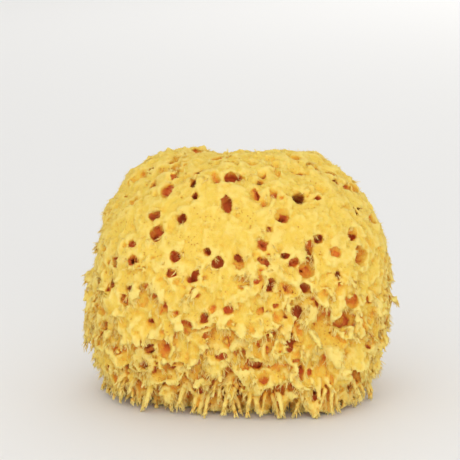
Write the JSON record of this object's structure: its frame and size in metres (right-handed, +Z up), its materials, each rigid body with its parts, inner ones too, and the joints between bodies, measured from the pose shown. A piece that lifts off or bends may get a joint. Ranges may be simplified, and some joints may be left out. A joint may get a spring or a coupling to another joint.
{
  "type": "sea sponge",
  "caption": "Rounded natural bath sponge, cut flat underneath, with round canal mouths all over and a ragged, tufted skin; lies on a surface and soaks up water.",
  "frame": {"origin": "middle of the underside, on the flat cut that the sponge rests on", "axes": "+Z up, away from the cut; +X along the sponge's longest side; -Y is the showy side"},
  "size_m": [0.1, 0.074, 0.08],
  "materials": {
    "spongin": "matt, fibrous, honey-yellow"
  },
  "bodies": {
    "root": {"sponge": "spongin"}
  },
  "joints": []
}
